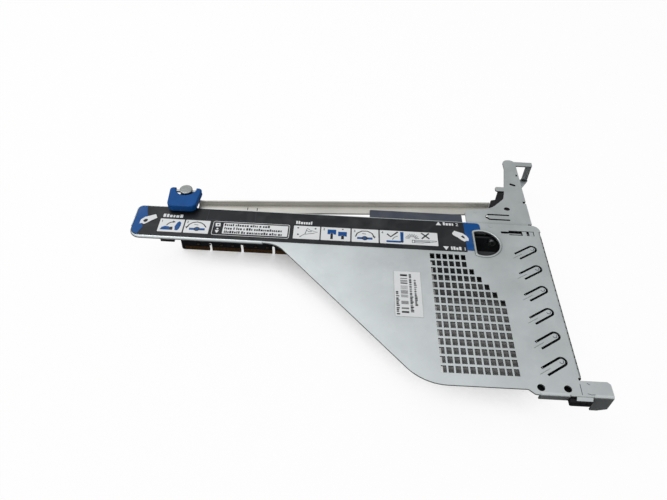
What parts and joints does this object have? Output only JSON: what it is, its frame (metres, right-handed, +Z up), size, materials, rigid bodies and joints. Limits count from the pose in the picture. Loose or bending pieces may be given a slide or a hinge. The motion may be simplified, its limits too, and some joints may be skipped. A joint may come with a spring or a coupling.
{
  "type": "server card riser cage",
  "caption": "Two-slot expansion card riser cage for a flat server: folded perforated plate, upright riser board, bracket landings and a half-turn front latch.",
  "frame": {"origin": "middle of the riser board's contact edge, on the board's mid-plane", "axes": "+X to the rear brackets, +Y to slot 2, +Z up through the top plate"},
  "size_m": [0.2876, 0.2041, 0.0366],
  "materials": {
    "galvanised_steel": "zinc-coated sheet, satin",
    "rail_steel": "zinc-coated sheet, warm satin",
    "spring_steel": "rolled spring strip",
    "latch_steel": "turned, satin",
    "screw_steel": "zinc plated",
    "black_metal": "blackened",
    "blue_plastic": "moulded, fine grain",
    "board_laminate": "black solder mask",
    "gold_contact": "gold plated",
    "connector_plastic": "moulded",
    "chip_resin": "moulded resin",
    "capacitor_ceramic": "ceramic",
    "black_plastic": "moulded",
    "label_black": "printed polyester film",
    "mark_blue": "printed film",
    "panel_white": "printed film",
    "slate_film": "insulating film"
  },
  "bodies": {
    "cage": {"top_plate": "galvanised_steel", "slot2_wing": "galvanised_steel", "board_carrier": "galvanised_steel", "side_rail": "rail_steel", "latch_tab": "galvanised_steel", "latch_sleeve": "black_metal", "riser_board": "board_laminate", "edge_contacts": "gold_contact", "slot1_connector": "connector_plastic", "slot1_contacts": "gold_contact", "slot2_connector": "connector_plastic", "slot2_contacts": "gold_contact", "board_screws": "screw_steel", "board_standoffs": "screw_steel", "board_chips": "chip_resin", "board_capacitors": "capacitor_ceramic", "slot1_retainer": "black_plastic", "corner_bumper": "black_plastic", "arm_foot": "black_plastic", "finger_strip": "spring_steel", "instruction_label": "label_black", "front_touch_mark": "mark_blue", "rear_touch_mark": "mark_blue", "label_panels": "panel_white", "part_label": "panel_white", "insulator_flap": "slate_film", "carrier_rivets": "screw_steel", "tab_rivets": "screw_steel", "wing_rivets": "screw_steel", "rail_rivets": "screw_steel"},
    "latch_shaft": {"latch_stud": "latch_steel", "latch_hub": "black_metal", "stud_clip": "latch_steel", "handle_pin": "latch_steel"},
    "handle": {"latch_handle": "blue_plastic"}
  },
  "joints": [
    {"name": "latch_turn", "type": "hinge", "parent": "cage", "child": "latch_shaft", "pos_m": [-0.0653, 0.0216, 0.0296], "axis": [0, 0, 1], "range_deg": [0, 180]},
    {"name": "handle_fold", "type": "hinge", "parent": "latch_shaft", "child": "handle", "pos_m": [-0.0653, 0.0216, 0.0342], "axis": [-1, 0, 0], "range_deg": [0, 90]}
  ]
}
